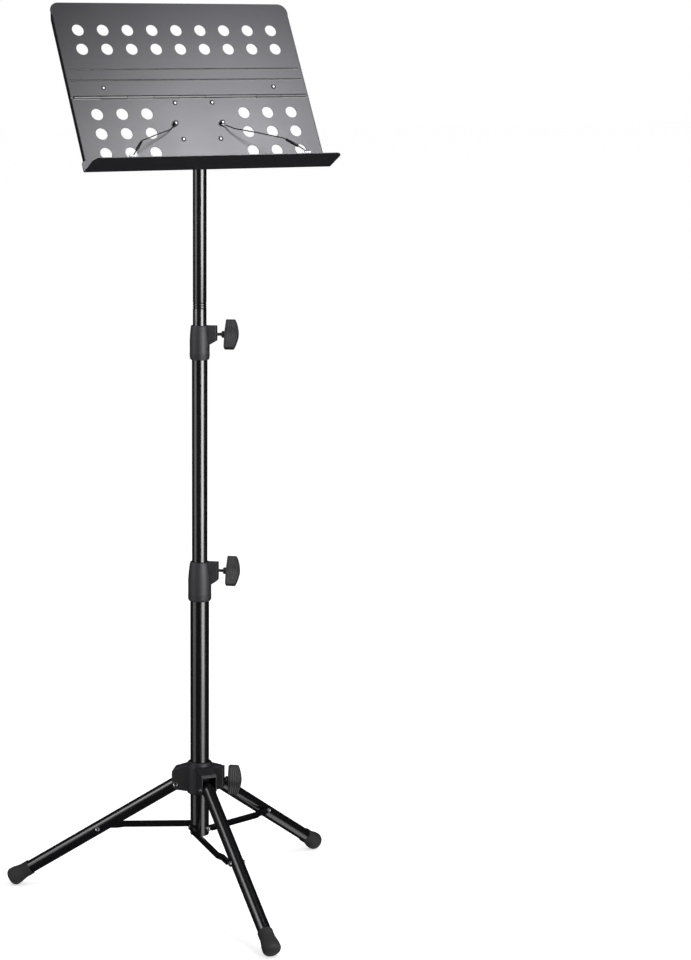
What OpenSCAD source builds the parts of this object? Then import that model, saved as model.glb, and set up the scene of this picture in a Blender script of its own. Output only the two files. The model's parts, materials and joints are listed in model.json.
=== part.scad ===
// Folding sheet-music stand: perforated steel desk on a three-part telescopic pole and a tripod.
// Millimetres. +Z up, floor at Z = 0, the pole stands on the Z axis, the desk faces -Y.

/* [Pole] */
// Outside diameter of the lower tube
lower_od = 35; // [32:0.5:36]
// Outside diameter of the middle tube
middle_od = 28.5; // [27.5:0.5:29]
// Outside diameter of the upper tube
upper_od = 25; // [24:0.5:25.4]
// Wall of every tube
tube_wall = 1.2; // [1:0.1:1.4]
// Height of the lower tube's bottom end
lower_bottom = 119; // [117:1:122]
// Height of the middle tube's bottom end
middle_bottom = 525; // [500:1:540]
// Height of the upper tube's bottom end
upper_bottom = 849; // [820:1:880]
// Height of the upper tube's top end
upper_top = 1364; // [1355:1:1368]

/* [Clamps] */
// Direction that the two pole clamps face, around the pole
clamp_angle = -38; // [-60:1:0]
// Direction that the hub's clamp faces, midway between two legs
hub_clamp_angle = -36; // [-46:1:-26]
// Height of the lower clamp's screw
lower_screw_z = 625; // [623:1:627]
// Height of the upper clamp's screw
upper_screw_z = 1063; // [1061:1:1065]
// Diameter of the clamp screws
screw_d = 6; // [5:0.5:6]
// Tip-to-tip length of a clamp knob's wing
wing_len = 55; // [48:1:58]
// How far the wings are turned about their screws
wing_turn = 28; // [0:1:60]

/* [Tripod] */
// Direction of the first leg, around the pole
first_leg_angle = 24; // [20:1:28]
// Distance from the pole's axis to the leg pivots
pivot_r = 43.4; // [43:0.1:44]
// Height of the leg pivots
pivot_z = 216; // [214:1:218]
// Leg tube diameter
leg_od = 24.5; // [23:0.5:24.5]
// Slope of the legs below the horizontal
leg_drop = 32.5; // [31:0.5:34]
// Distance along a leg from its pivot to its strut pin
pin_along = 178; // [170:1:180]
// Height of the strut pins at the bottom of the lower tube
strut_pin_z = 132; // [130:1:134]

/* [Desk] */
// Desk width
desk_w = 480; // [470:1:490]
// Lean of the desk back from the vertical
desk_tilt = 29; // [25:1:32]
// Distance behind the pole's axis of the top hole row
row_y = 95.8; // [94:0.1:98]
// Height of the top hole row
row_z = 1607.2; // [1600:0.1:1612]
// From the top hole row up to the top edge
desk_above = 55.5; // [50:0.5:60]
// From the top hole row down to the shelf
desk_below = 280.75; // [279:0.25:283]
// Depth of the shelf
shelf_depth = 57; // [50:1:62]
// Thickness of the sheet steel
sheet = 1.2; // [1:0.1:1.4]
// Diameter of the round holes
hole_d = 22.5; // [20:0.5:24]
// Spacing of the hole columns
column_pitch = 48.7; // [46:0.1:50]
// Spacing of the hole rows within a group
row_pitch = 38.3; // [36:0.1:40]
// From the second row down to the third
row_gap = 129.8; // [128:0.1:132]

/* [Hidden] */

$fn = 64;
black = "#17171a";
plastic = "#35343a";
rubber = "#232326";
steel = "#a9abb0";
sheet_grey = "#5d5c64";
brass = "#b59a56";

gap = 0.3;              // free space between sliding tubes, on the radius
fit = 0.1;              // running clearance of pins and screws, on the radius
screw_r = screw_d / 2;

// Clamp sleeves: each covers the outer tube's end and guides the inner tube above it
lower_sleeve_z = [567, 641];
upper_sleeve_z = [1016, 1079];
lower_top = 604;        // top end of the lower tube
middle_top = 1046;      // top end of the middle tube
lower_boss = 34.5;      // reach of a clamp's boss from the pole's axis
upper_boss = 31.5;
hub_boss = 46;
lower_knob_at = 50;     // where a knob's wing starts, from the pole's axis
upper_knob_at = 46.5;
hub_knob_at = 54;
pad_len = 3.6;

// Hub
hub_z = [199, 260];
hub_screw_z = 226;
hub_bore = lower_od / 2 + gap;
lobe_w = 30;
lobe_slot = leg_od + 0.8;
leg_rivet_r = 3;
pin_r = 2.5;

// Feet: a rounded rubber cap whose lowest point is cut to a small flat on the floor
foot_corner = 9;
foot_core = 8;
foot_flat = 0.8;
foot_along = (pivot_z - (foot_core * cos(leg_drop) + foot_corner - foot_flat)) / sin(leg_drop);
leg_tail = 11;          // leg tube past its pivot, inside the hub

// Struts: channel bars beside the legs, pinned to the lower tube and to the legs
strut_run = pivot_r + pin_along * cos(leg_drop);
strut_rise = pivot_z - pin_along * sin(leg_drop) - strut_pin_z;
strut_len = norm([strut_run, strut_rise]);
strut_slope = atan2(strut_rise, strut_run);
strut_tall = 11.5;
strut_web = 1.6;
strut_flange = 5;
strut_in = lower_od / 2 + 0.8;   // leg-side face of the strut beside the lower tube
strut_out = leg_od / 2 + 0.65;   // leg-side face of the strut beside the leg

// Desk levels, measured up the desk from the top hole row
fold_v = -134.8;
panel_gap = 3.4;        // from the fold axis to each panel's edge
knuckle_r = 2.8;
fold_pin_r = 1.2;
knuckles = 9;
hinge_w = desk_w - 14;
fold_gap = 0.3;         // from the fold axis to the flanges and the panels' outer ends
flange_d = 7;
bend_r = 2.6;
corner_r = 18;
shelf_w = desk_w + 12;
wide_v = -259;          // below this the blank is as wide as the shelf
groove_v = [-79.2, -101];
leaf_rivet_v = -116;
arm_pivot = [47, -189];
bracket_rivet_at = [37.3, -147, -219.7];

// Tilt joint
tilt_axis_z = 1386;
axis_v = (tilt_axis_z - row_z) * cos(desk_tilt) - row_y * sin(desk_tilt);
axis_n = (tilt_axis_z - row_z) * sin(desk_tilt) + row_y * cos(desk_tilt);
lug_w = 16;
lug_r = 11;
ear_w = 6;
ear_gap = 0.4;
bolt_r = 3;
plate_t = 4;
plate_w = 85;
plate_low = -247;
plate_high = -140;
rib_d = 2.6;

function leg_angle(k) = first_leg_angle + 120 * (k - 1);
function wing_x(t, depth, bulge, half) =
    let (r = (half * half + bulge * bulge) / (2 * bulge)) depth - bulge + sqrt(r * r - t * t) - (r - bulge);

// ---- placing ----

module leg_plane(k) {
    rotate([0, 0, leg_angle(k)]) children();
}

// Z runs along the leg from its pivot, X points down and inward
module along_leg(k) {
    leg_plane(k) translate([pivot_r, 0, pivot_z]) rotate([0, 90 + leg_drop, 0]) children();
}

// X runs from the strut's inner pin to its outer one
module along_strut(k) {
    leg_plane(k) translate([0, 0, strut_pin_z]) rotate([0, -strut_slope, 0]) children();
}

// X runs out along a clamp's screw
module clamp_frame(angle, z) {
    rotate([0, 0, angle]) translate([0, 0, z]) children();
}

// X across the desk, Y up the desk, Z out of its front face
module on_desk() {
    translate([0, row_y, row_z]) rotate([90 - desk_tilt, 0, 0]) children();
}

module x_rod(from, to, r) {
    translate([from, 0, 0]) rotate([0, 90, 0]) cylinder(h = to - from, r = r);
}

module y_rod(from, to, r) {
    translate([0, to, 0]) rotate([90, 0, 0]) cylinder(h = to - from, r = r);
}

module tube(od, from, to) {
    translate([0, 0, from]) difference() {
        cylinder(h = to - from, d = od);
        translate([0, 0, -1]) cylinder(h = to - from + 2, d = od - 2 * tube_wall);
    }
}

// Domed rivet head standing on Z = 0
module dome(r, h) {
    rotate_extrude()
        polygon([[0, 0], [r, 0], [r * 0.94, h * 0.45], [r * 0.72, h * 0.85], [r * 0.4, h], [0, h]]);
}

// ---- pole ----

module lower_tube() {
    color(black) difference() {
        tube(lower_od, lower_bottom, lower_top);
        for (k = [1:3]) leg_plane(k) translate([0, 0, strut_pin_z]) y_rod(-lower_od, 0, pin_r);
    }
}

module tube_end_plug() {
    r = lower_od / 2 - tube_wall;
    color(plastic) difference() {
        rotate_extrude() polygon([[0, lower_bottom - 2], [r - 1, lower_bottom - 2],
            [r + 0.9, lower_bottom - 1], [r + 0.9, lower_bottom], [r, lower_bottom],
            [r, strut_pin_z + 10], [r - 1, strut_pin_z + 11], [0, strut_pin_z + 11]]);
        for (k = [1:3]) leg_plane(k) translate([0, 0, strut_pin_z]) y_rod(-lower_od, -8, pin_r);
    }
}

// Rivets that hold the struts' inner ends to the lower tube
module strut_pins() {
    head_y = -(strut_in + strut_web + gap);
    color(steel) for (k = [1:3]) leg_plane(k) translate([0, 0, strut_pin_z]) {
        y_rod(head_y, -8, pin_r);
        translate([0, head_y, 0]) rotate([90, 0, 0]) dome(4.6, 1.9);
    }
}

module middle_tube() {
    color(black) tube(middle_od, middle_bottom, middle_top);
}

module glide(outer_r, inner_r, z) {
    rotate_extrude() polygon([[inner_r, z], [outer_r - 0.8, z], [outer_r, z + 1], [outer_r, z + 23],
        [outer_r - 0.8, z + 24], [inner_r, z + 24]]);
}

// Nylon bush on the middle tube's foot
module middle_glide() {
    color(plastic) glide(lower_od / 2 - tube_wall - gap, middle_od / 2 + fit, middle_bottom + 1);
}

// Nylon plug in the upper tube's foot, with the tube turning on its spigot
module upper_glide() {
    color(plastic) rotate_extrude() polygon([[0, upper_bottom - 9], [12.2, upper_bottom - 9],
        [12.6, upper_bottom - 8], [12.6, upper_bottom - 0.4],
        [upper_od / 2 - tube_wall - fit, upper_bottom - 0.4],
        [upper_od / 2 - tube_wall - fit, upper_bottom + 22], [0, upper_bottom + 22]]);
}

// The two rolled grooves mark the greatest height
module upper_tube() {
    color(black) difference() {
        tube(upper_od, upper_bottom, upper_top);
        for (z = [1110.5, 1119]) translate([0, 0, z]) rotate_extrude()
            polygon([[upper_od / 2 - 0.55, 0], [upper_od / 2 + 1, -1.6], [upper_od / 2 + 1, 1.6]]);
    }
}

// ---- clamps ----

// Side outline of a boss that grows out of a sleeve, wedge-shaped below
module clamp_boss(reach, wide, top, low, foot) {
    rotate([90, 0, 0]) linear_extrude(height = wide, center = true)
        polygon([[10, foot], [reach * 0.62, foot + 1], [reach, low], [reach, top], [10, top]]);
}

// The screw's way through a clamp: a pocket for the pad, the hole and the room for the captive nut
module screw_way(bore, reach, nut_at) {
    x_rod(bore - 3, bore + pad_len + 2, 5);
    x_rod(bore, reach + 1, screw_r + 0.4);
    x_rod(nut_at, nut_at + 6, 6);
}

module captive_nut(nut_at) {
    difference() {
        x_rod(nut_at, nut_at + 6, 6);
        x_rod(nut_at - 1, nut_at + 7, screw_r + fit);
    }
}

// Nylon pad between the screw's tip and the tube, hollowed to the tube's curve
module clamp_pad(tube_r) {
    difference() {
        x_rod(tube_r - 2, tube_r + pad_len, 4.6);
        cylinder(h = 30, r = tube_r + gap, center = true);
        x_rod(tube_r + pad_len - 1.6, tube_r + pad_len + 1, 2.4);
    }
}

module clamp_screw(tube_r, knob_at) {
    x_rod(tube_r + pad_len - 1.4, tube_r + pad_len + gap, 2.2);
    x_rod(tube_r + pad_len + gap, knob_at + 4, screw_r);
}

// Wing knob: a short cone and a cross bar with a bowed outer face
module wing_knob(knob_at, len, depth, thick, cone) {
    half = len / 2;
    bulge = depth * 0.26;
    steps = [for (i = [-5:5]) i * half / 5];
    difference() {
        union() {
            translate([knob_at - cone, 0, 0]) rotate([0, 90, 0]) cylinder(h = cone, r1 = 4.2, r2 = 7.6);
            rotate([90, 0, 0]) linear_extrude(height = thick, center = true)
                polygon(concat([[knob_at + 0.8, -half], [knob_at - 0.4, 0], [knob_at + 0.8, half]],
                    [for (i = [10:-1:0]) [knob_at + wing_x(steps[i], depth, bulge, half), steps[i]]]));
            x_rod(knob_at - 0.2, knob_at + depth * 0.8, thick * 0.72);
        }
        x_rod(knob_at - cone - 1, knob_at + 4, screw_r);
    }
}

module lower_clamp_sleeve() {
    z0 = lower_sleeve_z[0];
    z1 = lower_sleeve_z[1];
    color(plastic) difference() {
        union() {
            rotate_extrude() polygon([[10, z0], [19.6, z0], [21.2, z0 + 2.5], [21.5, z0 + 12],
                [21.5, z0 + 40], [20.6, z0 + 52], [18.6, z1 - 5], [17.6, z1 - 1.2], [16.6, z1], [10, z1]]);
            rotate([0, 0, clamp_angle])
                clamp_boss(lower_boss, 18, z1 - 0.5, lower_screw_z - 18, lower_screw_z - 28);
        }
        translate([0, 0, z0 - 1]) cylinder(h = lower_top - z0 + 1, d = lower_od);
        translate([0, 0, z0]) cylinder(h = z1 - z0 + 1, r = middle_od / 2 + gap);
        clamp_frame(clamp_angle, lower_screw_z) screw_way(middle_od / 2, lower_boss, 24);
    }
}

module upper_clamp_sleeve() {
    z0 = upper_sleeve_z[0];
    z1 = upper_sleeve_z[1];
    color(plastic) difference() {
        union() {
            rotate_extrude() polygon([[10, z0], [16.6, z0], [17.6, z0 + 2], [18.2, z0 + 10],
                [18.3, z0 + 34], [17.6, z0 + 48], [16.4, z1 - 3], [15.4, z1], [10, z1]]);
            rotate([0, 0, clamp_angle])
                clamp_boss(upper_boss, 16, z1 - 0.5, upper_screw_z - 12, upper_screw_z - 20);
        }
        translate([0, 0, z0 - 1]) cylinder(h = middle_top - z0 + 1, d = middle_od);
        translate([0, 0, z0]) cylinder(h = z1 - z0 + 1, r = upper_od / 2 + gap);
        clamp_frame(clamp_angle, upper_screw_z) screw_way(upper_od / 2, upper_boss, 22.5);
    }
}

module lower_clamp_nut() {
    color(brass) clamp_frame(clamp_angle, lower_screw_z) captive_nut(24);
}

module upper_clamp_nut() {
    color(brass) clamp_frame(clamp_angle, upper_screw_z) captive_nut(22.5);
}

module lower_pad() {
    color("#d8d6cf") clamp_frame(clamp_angle, lower_screw_z) clamp_pad(middle_od / 2);
}

module upper_pad() {
    color("#d8d6cf") clamp_frame(clamp_angle, upper_screw_z) clamp_pad(upper_od / 2);
}

module lower_screw() {
    color(black) clamp_frame(clamp_angle, lower_screw_z) clamp_screw(middle_od / 2, lower_knob_at);
}

module upper_screw() {
    color(black) clamp_frame(clamp_angle, upper_screw_z) clamp_screw(upper_od / 2, upper_knob_at);
}

module lower_knob() {
    color(plastic) clamp_frame(clamp_angle, lower_screw_z) rotate([-wing_turn, 0, 0])
        wing_knob(lower_knob_at, wing_len, 24.5, 14, 6);
}

module upper_knob() {
    color(plastic) clamp_frame(clamp_angle, upper_screw_z) rotate([-wing_turn, 0, 0])
        wing_knob(upper_knob_at, wing_len, 24.5, 14, 6);
}

// ---- hub and tripod ----

module hub_body() {
    z0 = hub_z[0];
    z1 = hub_z[1];
    color(plastic) difference() {
        union() {
            rotate_extrude() polygon([[10, z0], [22.6, z0], [24, z0 + 2], [24, z0 + 50], [22.8, z0 + 54],
                [22.2, z1 - 2], [20.8, z1], [10, z1]]);
            for (k = [1:3]) leg_plane(k) rotate([90, 0, 0]) linear_extrude(height = lobe_w, center = true)
                polygon([[10, 200], [15, 203], [44, 205.5], [48, 208], [50, 214], [51, 236], [50.4, 241],
                    [47.5, 245], [22, 253.5], [10, 253.5]]);
            rotate([0, 0, hub_clamp_angle]) clamp_boss(hub_boss, 21, 251, 211, 206);
        }
        for (k = [1:3]) leg_plane(k) {
            rotate([90, 0, 0]) linear_extrude(height = lobe_slot, center = true)
                polygon([[24.6, 190], [60, 190], [60, 237], [46, 240.5], [24.6, 246]]);
            translate([pivot_r, 0, pivot_z]) y_rod(-20, 20, leg_rivet_r);
        }
        translate([0, 0, z0 - 1]) cylinder(h = z1 - z0 + 2, r = hub_bore);
        clamp_frame(hub_clamp_angle, hub_screw_z) screw_way(lower_od / 2, hub_boss, 34);
    }
}

module leg_rivets() {
    color(steel) for (k = [1:3]) leg_plane(k) translate([pivot_r, 0, pivot_z]) {
        y_rod(-lobe_w / 2, lobe_w / 2, leg_rivet_r);
        for (s = [-1, 1]) translate([0, s * lobe_w / 2, 0]) rotate([-90 * s, 0, 0]) dome(5, 2);
    }
}

module hub_clamp_nut() {
    color(brass) clamp_frame(hub_clamp_angle, hub_screw_z) captive_nut(34);
}

module hub_pad() {
    color("#d8d6cf") clamp_frame(hub_clamp_angle, hub_screw_z) clamp_pad(lower_od / 2);
}

module hub_screw() {
    color(black) clamp_frame(hub_clamp_angle, hub_screw_z) clamp_screw(lower_od / 2, hub_knob_at);
}

module hub_knob() {
    color(plastic) clamp_frame(hub_clamp_angle, hub_screw_z) rotate([-wing_turn / 3, 0, 0])
        wing_knob(hub_knob_at, wing_len, 24.5, 14, 6);
}

module leg_tube(k) {
    color(black) along_leg(k) difference() {
        tube(leg_od, -leg_tail, foot_along - 8);
        y_rod(-leg_od, leg_od, leg_rivet_r + fit);
        translate([0, 0, pin_along]) y_rod(-leg_od, leg_od, pin_r);
    }
}

module foot(k) {
    mouth = foot_along - 38;
    r_bore = leg_od / 2;
    color(rubber) difference() {
        along_leg(k) rotate_extrude() polygon(concat(
            [[0, foot_along - 8], [r_bore, foot_along - 8], [r_bore, mouth], [r_bore + 1, mouth],
                [r_bore + 1.8, mouth + 1.5], [r_bore + 2.1, mouth + 18],
                [foot_core + foot_corner - 0.4, mouth + 30]],
            [for (a = [0:15:90]) [foot_core + foot_corner * cos(a), foot_along + foot_corner * sin(a)]],
            [[0, foot_along + foot_corner + 0.8]]));
        translate([-600, -600, -50]) cube([1200, 1200, 50]);
    }
}

// Rivet through the leg, with its head on the side away from the strut
module leg_pin(k) {
    color(steel) along_leg(k) translate([0, 0, pin_along]) {
        y_rod(-leg_od / 2 + 0.4, leg_od / 2, pin_r);
        translate([0, leg_od / 2, 0]) rotate([-90, 0, 0]) dome(4.4, 2);
    }
}

// Plan outline of the strut: straight beside the lower tube, then a joggle in to the leg
module strut_plan(thick) {
    bend = [strut_len - 46, strut_len - 32];
    far = strut_len + 8;
    polygon([[-8, -strut_in], [bend[0], -strut_in], [bend[1], -strut_out], [far, -strut_out],
        [far, -strut_out - thick], [bend[1], -strut_out - thick], [bend[0], -strut_in - thick],
        [-8, -strut_in - thick]]);
}

module strut(k) {
    half = strut_tall / 2;
    color(black) along_strut(k) difference() {
        intersection() {
            union() {
                translate([0, 0, -half]) linear_extrude(height = strut_tall) strut_plan(strut_web);
                intersection() {
                    union() for (z = [-half, half - 1.5]) translate([0, 0, z])
                        linear_extrude(height = 1.5) strut_plan(strut_flange);
                    translate([10, -40, -half]) cube([strut_len - 20, 40, strut_tall]);
                }
            }
            union() {
                y_rod(-40, 0, half);
                translate([strut_len, 0, 0]) y_rod(-40, 0, half);
                translate([0, -40, -half]) cube([strut_len, 40, strut_tall]);
            }
        }
        y_rod(-40, 0, pin_r + fit);
        translate([strut_len, 0, 0]) y_rod(-40, 0, pin_r);
    }
}

// Rivet in the strut's outer end, beside the leg
module strut_rivet(k) {
    color(steel) along_strut(k) translate([strut_len, 0, 0]) {
        y_rod(-strut_out - strut_web, -strut_out + 0.2, pin_r);
        translate([0, -strut_out - strut_web, 0]) rotate([90, 0, 0]) dome(4.4, 1.9);
    }
}

// ---- tilt joint ----

module tilt_head() {
    r = upper_od / 2 - tube_wall;
    color(plastic) {
        difference() {
            union() {
                translate([0, 0, upper_top - 40]) cylinder(h = 41, r = r);
                translate([0, 0, upper_top]) cylinder(h = 5, r = 13.4);
                translate([-lug_w / 2, -lug_r, upper_top])
                    cube([lug_w, 2 * lug_r, tilt_axis_z - upper_top]);
                translate([0, 0, tilt_axis_z]) x_rod(-lug_w / 2, lug_w / 2, lug_r);
            }
            translate([0, 0, tilt_axis_z]) x_rod(-lug_w, lug_w, bolt_r + fit);
        }
    }
}

// Moulded bracket on the desk's back: a plate and two ears that straddle the tilt head
module desk_bracket() {
    ear_in = lug_w / 2 + ear_gap;
    color(plastic) on_desk() difference() {
        union() {
            translate([-plate_w / 2, plate_low, -sheet - plate_t])
                cube([plate_w, plate_high - plate_low, plate_t]);
            for (s = [-1, 1]) scale([s, 1, 1]) translate([ear_in, 0, 0]) rotate([0, 90, 0])
                linear_extrude(height = ear_w) union() {
                    polygon([[sheet + 1, -200], [sheet + plate_t + 1, -205],
                        [-axis_n + lug_r * 0.7, axis_v + lug_r * 0.71],
                        [-axis_n - lug_r * 0.3, axis_v - lug_r * 0.95], [sheet + plate_t + 1, plate_low],
                        [sheet + 1, plate_low]]);
                    translate([-axis_n, axis_v]) circle(r = lug_r);
                }
            for (x = [-36, 32]) translate([x, plate_low + 5, -sheet - plate_t - rib_d])
                cube([4, plate_high - plate_low - 10, rib_d + 1]);
        }
        translate([0, axis_v, axis_n]) x_rod(-40, 40, bolt_r + fit);
        for (x = [-1, 1], y = [1, 2]) translate([x * bracket_rivet_at[0], bracket_rivet_at[y], -30])
            cylinder(h = 40, r = pin_r);
        for (x = [-1, 1], y = [1, 2]) translate([x * bracket_rivet_at[0], bracket_rivet_at[y], -30])
            cylinder(h = 30 - sheet - plate_t, r = 6);
    }
}

// Tubular rivet through the desk along its Z, with its head on the front face
module desk_rivet(grip, head_r) {
    translate([0, 0, -grip]) cylinder(h = grip, r = pin_r);
    dome(head_r, 1.4);
    translate([0, 0, -grip]) rotate([180, 0, 0]) dome(head_r - 0.6, 1.3);
}

module bracket_rivets() {
    color(steel) on_desk() for (x = [-1, 1], y = [1, 2])
        translate([x * bracket_rivet_at[0], bracket_rivet_at[y], 0]) desk_rivet(sheet + plate_t, 4.6);
}

module tilt_frame() {
    translate([0, 0, tilt_axis_z]) children();
}

// Coach bolt, its head against the left ear
module tilt_bolt() {
    ear_out = lug_w / 2 + ear_gap + ear_w;
    color(steel) tilt_frame() {
        x_rod(-ear_out, ear_out + 17, bolt_r);
        translate([-ear_out, 0, 0]) rotate([0, -90, 0]) dome(7, 3.4);
    }
}

module tilt_washer() {
    ear_out = lug_w / 2 + ear_gap + ear_w;
    color(steel) tilt_frame() difference() {
        x_rod(ear_out + gap, ear_out + gap + 1.6, 7.5);
        x_rod(ear_out, ear_out + 3, bolt_r + fit);
    }
}

tilt_knob_at = lug_w / 2 + ear_gap + ear_w + gap + 1.6 + gap + 5;

module tilt_knob() {
    color(plastic) tilt_frame() difference() {
        rotate([62, 0, 0]) wing_knob(tilt_knob_at, 29, 15, 10, 5);
        x_rod(tilt_knob_at - 6, tilt_knob_at + 10, 5);
    }
}

module tilt_knob_nut() {
    color(brass) tilt_frame() difference() {
        x_rod(tilt_knob_at - 5, tilt_knob_at + 9, 5);
        x_rod(tilt_knob_at - 6, tilt_knob_at + 10, bolt_r + fit);
    }
}

// ---- desk ----

module hole_at(x, v) {
    translate([x, v]) circle(d = hole_d);
}

// Side flange turned back along X = desk_w / 2, from one level to another, with its top end cut on a slope
module side_flange(from, to, slope) {
    mid = desk_w / 2 - bend_r;
    difference() {
        translate([0, to, 0]) rotate([90, 0, 0]) linear_extrude(height = to - from) {
            intersection() {
                difference() {
                    translate([mid, -bend_r]) circle(r = bend_r);
                    translate([mid, -bend_r]) circle(r = bend_r - sheet);
                }
                translate([mid, -bend_r]) square(bend_r);
            }
            translate([desk_w / 2 - sheet, -flange_d]) square([sheet, flange_d - bend_r]);
        }
        if (slope > 0) translate([mid - 1, 0, 0]) rotate([90, 0, 90]) linear_extrude(height = bend_r + 2)
            polygon([[to + 1, -sheet], [to + 1, -flange_d - 1], [to - slope - 2, -flange_d - 1],
                [to - 2, -sheet]]);
    }
}

module flanges(from, to, slope) {
    side_flange(from, to, slope);
    mirror([1, 0, 0]) side_flange(from, to, slope);
}

module knuckle(i) {
    pitch = hinge_w / knuckles;
    difference() {
        x_rod(-hinge_w / 2 + i * pitch + gap, -hinge_w / 2 + (i + 1) * pitch - gap, knuckle_r);
        x_rod(-desk_w, desk_w, fold_pin_r + fit);
    }
}

module knuckle_web(i, from, to, z) {
    pitch = hinge_w / knuckles;
    translate([-hinge_w / 2 + i * pitch + gap, from, z]) cube([pitch - 2 * gap, to - from, sheet]);
}

module upper_panel() {
    low = fold_v + panel_gap;
    half = desk_w / 2 - bend_r;
    color(sheet_grey) on_desk() {
        difference() {
            translate([0, 0, -sheet]) linear_extrude(height = sheet) difference() {
                union() {
                    translate([-half, low]) square([2 * half, desk_above - corner_r - low]);
                    for (s = [0, 1]) mirror([s, 0]) translate([hinge_w / 2 + fold_gap, fold_v + fold_gap])
                        square([half - hinge_w / 2 - fold_gap, panel_gap]);
                    translate([corner_r - desk_w / 2, low])
                        square([desk_w - 2 * corner_r, desk_above - low]);
                    for (s = [-1, 1]) translate([s * (desk_w / 2 - corner_r), desk_above - corner_r])
                        circle(r = corner_r);
                }
                for (c = [-4:4], r = [0, 1]) hole_at(c * column_pitch, -r * row_pitch);
                for (s = [-1, 1]) translate([s * 171, leaf_rivet_v]) circle(r = pin_r);
            }
            for (v = groove_v) translate([8 - desk_w / 2, v - 1, -0.7]) cube([desk_w - 16, 2, 1]);
        }
        flanges(fold_v + fold_gap, desk_above - corner_r, 14);
    }
}

// Strip behind the upper panel that carries its hinge knuckles
module hinge_leaf() {
    low = fold_v + panel_gap;
    color(sheet_grey) on_desk() {
        difference() {
            translate([-hinge_w / 2, low, -2 * sheet]) cube([hinge_w, 26, sheet]);
            for (s = [-1, 1]) translate([s * 171, leaf_rivet_v, -10]) cylinder(h = 20, r = pin_r);
        }
        translate([0, fold_v, 0]) for (i = [0:2:knuckles - 1]) knuckle(i);
        difference() {
            for (i = [0:2:knuckles - 1]) knuckle_web(i, fold_v + 0.4, low + 1, -2 * sheet);
            translate([0, fold_v, 0]) x_rod(-desk_w, desk_w, knuckle_r - 0.3);
        }
    }
}

module leaf_rivets() {
    color(steel) on_desk() for (s = [-1, 1])
        translate([s * 171, leaf_rivet_v, 0]) desk_rivet(2 * sheet, 4.4);
}

module fold_pin() {
    color(steel) on_desk() translate([0, fold_v, 0]) x_rod(-hinge_w / 2, hinge_w / 2, fold_pin_r);
}

module shelf_plan() {
    r = 15;
    translate([-shelf_w / 2, bend_r]) square([shelf_w, shelf_depth - r - bend_r]);
    translate([r - shelf_w / 2, bend_r]) square([shelf_w - 2 * r, shelf_depth - bend_r]);
    for (s = [-1, 1]) translate([s * (shelf_w / 2 - r), shelf_depth - r]) circle(r = r);
}

module lower_panel() {
    top = fold_v - panel_gap;
    low = -desk_below;
    half = desk_w / 2 - bend_r;
    ease = 6;
    color(sheet_grey) on_desk() {
        translate([0, 0, -sheet]) linear_extrude(height = sheet) difference() {
            union() {
                translate([-half, wide_v - 1]) square([2 * half, top - wide_v + 1]);
                for (s = [0, 1]) mirror([s, 0])
                    translate([hinge_w / 2 + fold_gap, fold_v - fold_gap - panel_gap])
                        square([half - hinge_w / 2 - fold_gap, panel_gap]);
                translate([-shelf_w / 2, low + bend_r]) square([shelf_w, wide_v - ease - low - bend_r]);
                translate([ease - shelf_w / 2, wide_v - ease - 1]) square([shelf_w - 2 * ease, ease + 1]);
                for (s = [-1, 1]) translate([s * (shelf_w / 2 - ease), wide_v - ease]) circle(r = ease);
            }
            for (c = [2:4], r = [0:2], s = [-1, 1])
                hole_at(s * c * column_pitch, -row_pitch - row_gap - r * row_pitch);
            for (s = [-1, 1]) translate([s * arm_pivot[0], arm_pivot[1]]) circle(r = pin_r);
            for (s = [-1, 1], y = [1, 2])
                translate([s * bracket_rivet_at[0], bracket_rivet_at[y]]) circle(r = pin_r);
        }
        flanges(wide_v + 1, fold_v - fold_gap, 0);
        translate([-shelf_w / 2, 0, 0]) rotate([90, 0, 90])
                linear_extrude(height = shelf_w) intersection() {
            difference() {
                translate([low + bend_r, bend_r - sheet]) circle(r = bend_r);
                translate([low + bend_r, bend_r - sheet]) circle(r = bend_r - sheet);
            }
            translate([low, -sheet]) square(bend_r);
        }
        translate([0, low + sheet, -sheet]) rotate([90, 0, 0]) linear_extrude(height = sheet) shelf_plan();
        translate([0, fold_v, 0]) for (i = [1:2:knuckles - 2]) knuckle(i);
        difference() {
            for (i = [1:2:knuckles - 2]) knuckle_web(i, top - 1, fold_v, -sheet);
            translate([0, fold_v, 0]) x_rod(-desk_w, desk_w, knuckle_r - 0.3);
        }
    }
}

// ---- page arms ----

wire_r = 1;
wire_sides = 12;
// Straight runs of the wire: across, up the desk, out of the desk
arm_route = [[64, -205, 9.5], [98, -220.5, 23.5], [141, -241, 40], [163, -266, 52], [172, -276.6, 55.2]];
// The eye round the rivet, then the lead out of it and the straight runs
arm_path = concat([for (a = [0:30:270]) [arm_pivot[0] + 4.2 * cos(a), arm_pivot[1] + 4.2 * sin(a), 2.6]],
    [[53, -195.2, 3.6]], arm_route);

function unit(v) = v / norm(v);
function heading(path, i) = let (n = len(path) - 1)
    unit(unit(path[min(i + 1, n)] - path[min(i, n - 1)]) + unit(path[max(i, 1)] - path[max(i - 1, 0)]));
function ring_at(path, i) =
    let (d = heading(path, i), side = unit(cross(d, [0, 0, 1])), up = cross(side, d))
    [for (j = [0:wire_sides - 1]) let (a = 360 * j / wire_sides)
        path[i] + wire_r * (cos(a) * side + sin(a) * up)];

// Round wire swept along a path
module wire(path) {
    last = len(path) - 1;
    n = wire_sides;
    polyhedron([for (i = [0:last]) each ring_at(path, i)], concat(
        [[for (j = [0:n - 1]) j]],
        [for (i = [0:last - 1], j = [0:n - 1]) let (k = (j + 1) % n)
            [i * n + j, (i + 1) * n + j, (i + 1) * n + k, i * n + k]],
        [[for (j = [n - 1:-1:0]) last * n + j]]));
}

module arm_wire(s) {
    color("#55565b") on_desk() mirror([s < 0 ? 1 : 0, 0, 0]) wire(arm_path);
}

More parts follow.
